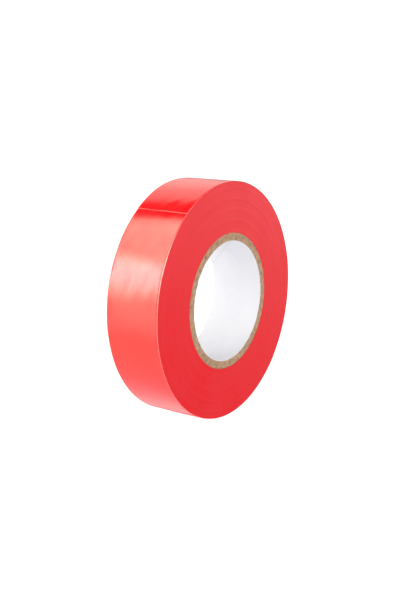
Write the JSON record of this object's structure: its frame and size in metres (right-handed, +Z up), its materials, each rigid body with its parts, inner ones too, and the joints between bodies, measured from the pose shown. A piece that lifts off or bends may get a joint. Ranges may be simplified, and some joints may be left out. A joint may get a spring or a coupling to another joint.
{
  "type": "electrical tape roll",
  "caption": "Roll of glossy red insulating tape wound on a paper core, with a free tape end that peels up from the outer turn.",
  "frame": {"origin": "centre of the core's bore at the middle of the width", "axes": "+Z up with the roll standing on its rim; Y along the roll's axis, and -Y is the side that faces the viewer; the free tape end is over the top, towards -X"},
  "size_m": [0.0767, 0.019, 0.0767],
  "materials": {
    "red_pvc_film": "gloss",
    "tape_adhesive": "satin",
    "kraft_paper": "matte",
    "white_paper": "matte"
  },
  "bodies": {
    "roll": {"wound_tape": "red_pvc_film", "core_liner": "white_paper", "core_ply_1": "kraft_paper", "core_ply_2": "kraft_paper", "core_ply_3": "kraft_paper", "core_ply_4": "kraft_paper", "core_ply_5": "kraft_paper"},
    "tape_end_01": {"tape_end_film_01": "red_pvc_film", "tape_end_adhesive_01": "tape_adhesive"},
    "tape_end_02": {"tape_end_film_02": "red_pvc_film", "tape_end_adhesive_02": "tape_adhesive"},
    "tape_end_03": {"tape_end_film_03": "red_pvc_film", "tape_end_adhesive_03": "tape_adhesive"},
    "tape_end_04": {"tape_end_film_04": "red_pvc_film", "tape_end_adhesive_04": "tape_adhesive"},
    "tape_end_05": {"tape_end_film_05": "red_pvc_film", "tape_end_adhesive_05": "tape_adhesive"},
    "tape_end_06": {"tape_end_film_06": "red_pvc_film", "tape_end_adhesive_06": "tape_adhesive"},
    "tape_end_07": {"tape_end_film_07": "red_pvc_film", "tape_end_adhesive_07": "tape_adhesive"},
    "tape_end_08": {"tape_end_film_08": "red_pvc_film", "tape_end_adhesive_08": "tape_adhesive"},
    "tape_end_09": {"tape_end_film_09": "red_pvc_film", "tape_end_adhesive_09": "tape_adhesive"},
    "tape_end_10": {"tape_end_film_10": "red_pvc_film", "tape_end_adhesive_10": "tape_adhesive"}
  },
  "joints": [
    {"name": "tape_end_peel", "type": "hinge", "parent": "roll", "child": "tape_end_01", "pos_m": [0.01531, 0, 0.03521], "axis": [0, 1, 0], "range_deg": [0, 30]},
    {"name": "tape_end_bend_02", "type": "hinge", "parent": "tape_end_01", "child": "tape_end_02", "pos_m": [0.01155, 0, 0.03662], "axis": [0, 1, 0], "range_deg": [0, 24]},
    {"name": "tape_end_bend_03", "type": "hinge", "parent": "tape_end_02", "child": "tape_end_03", "pos_m": [0.00766, 0, 0.03763], "axis": [0, 1, 0], "range_deg": [0, 16]},
    {"name": "tape_end_bend_04", "type": "hinge", "parent": "tape_end_03", "child": "tape_end_04", "pos_m": [0.00368, 0, 0.03823], "axis": [0, 1, 0], "range_deg": [0, 10]},
    {"name": "tape_end_bend_05", "type": "hinge", "parent": "tape_end_04", "child": "tape_end_05", "pos_m": [-0.00034, 0, 0.0384], "axis": [0, 1, 0], "range_deg": [0, 6]},
    {"name": "tape_end_bend_06", "type": "hinge", "parent": "tape_end_05", "child": "tape_end_06", "pos_m": [-0.00435, 0, 0.03816], "axis": [0, 1, 0], "range_deg": [0, 6]},
    {"name": "tape_end_bend_07", "type": "hinge", "parent": "tape_end_06", "child": "tape_end_07", "pos_m": [-0.00831, 0, 0.0375], "axis": [0, 1, 0], "range_deg": [0, 6]},
    {"name": "tape_end_bend_08", "type": "hinge", "parent": "tape_end_07", "child": "tape_end_08", "pos_m": [-0.01219, 0, 0.03643], "axis": [0, 1, 0], "range_deg": [0, 6]},
    {"name": "tape_end_bend_09", "type": "hinge", "parent": "tape_end_08", "child": "tape_end_09", "pos_m": [-0.01593, 0, 0.03496], "axis": [0, 1, 0], "range_deg": [0, 6]},
    {"name": "tape_end_bend_10", "type": "hinge", "parent": "tape_end_09", "child": "tape_end_10", "pos_m": [-0.0195, 0, 0.0331], "axis": [0, 1, 0], "range_deg": [0, 6]}
  ],
  "couplings": [
    {"joint": "tape_end_bend_02", "follows": "tape_end_peel", "ratio": 0.8},
    {"joint": "tape_end_bend_03", "follows": "tape_end_peel", "ratio": 0.53333},
    {"joint": "tape_end_bend_04", "follows": "tape_end_peel", "ratio": 0.33333},
    {"joint": "tape_end_bend_05", "follows": "tape_end_peel", "ratio": 0.2},
    {"joint": "tape_end_bend_06", "follows": "tape_end_peel", "ratio": 0.2},
    {"joint": "tape_end_bend_07", "follows": "tape_end_peel", "ratio": 0.2},
    {"joint": "tape_end_bend_08", "follows": "tape_end_peel", "ratio": 0.2},
    {"joint": "tape_end_bend_09", "follows": "tape_end_peel", "ratio": 0.2},
    {"joint": "tape_end_bend_10", "follows": "tape_end_peel", "ratio": 0.2}
  ]
}
